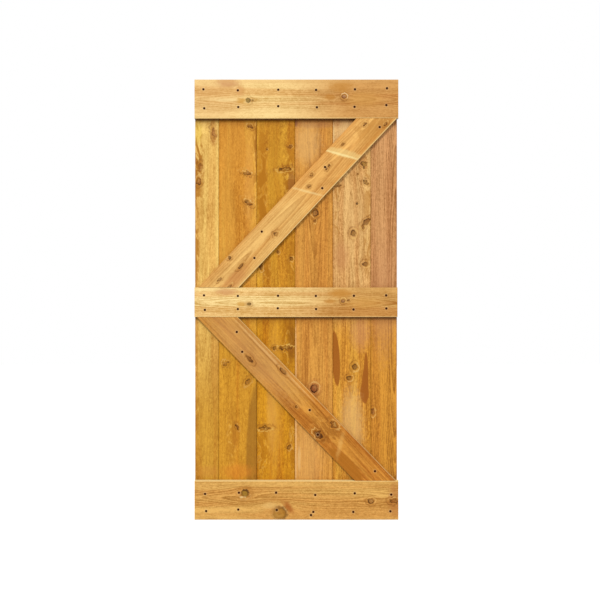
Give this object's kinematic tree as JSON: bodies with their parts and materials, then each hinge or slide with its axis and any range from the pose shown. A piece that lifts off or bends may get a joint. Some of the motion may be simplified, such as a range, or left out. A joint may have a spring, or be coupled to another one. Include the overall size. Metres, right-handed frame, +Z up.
{
  "type": "sliding barn door",
  "caption": "Ledged and braced pine plank door leaf, with two diagonal braces that meet in a K at its left edge, for hanging on a sliding track.",
  "frame": {"origin": "middle of the door's width and thickness, at its bottom edge", "axes": "+X to the right seen from the front, +Y from the braced front face to the flat back face, +Z up the door's height"},
  "size_m": [0.965, 0.038, 2.083],
  "materials": {
    "plank_1": "honey oil, satin",
    "plank_2": "honey oil, satin",
    "plank_3": "honey oil, satin",
    "plank_4": "honey oil, satin",
    "plank_5": "honey oil, satin",
    "plank_6": "honey oil, satin",
    "top_rail": "honey oil, satin",
    "middle_rail": "honey oil, satin",
    "bottom_rail": "honey oil, satin",
    "upper_brace": "honey oil, satin",
    "lower_brace": "honey oil, satin",
    "screw": "black phosphate, satin"
  },
  "bodies": {
    "root": {"plank_1": "plank_1", "plank_2": "plank_2", "plank_3": "plank_3", "plank_4": "plank_4", "plank_5": "plank_5", "plank_6": "plank_6", "top_rail": "top_rail", "middle_rail": "middle_rail", "bottom_rail": "bottom_rail", "upper_brace": "upper_brace", "lower_brace": "lower_brace", "top_rail_screws": "screw", "middle_rail_screws": "screw", "bottom_rail_screws": "screw", "upper_brace_screws": "screw", "lower_brace_screws": "screw"}
  },
  "joints": []
}
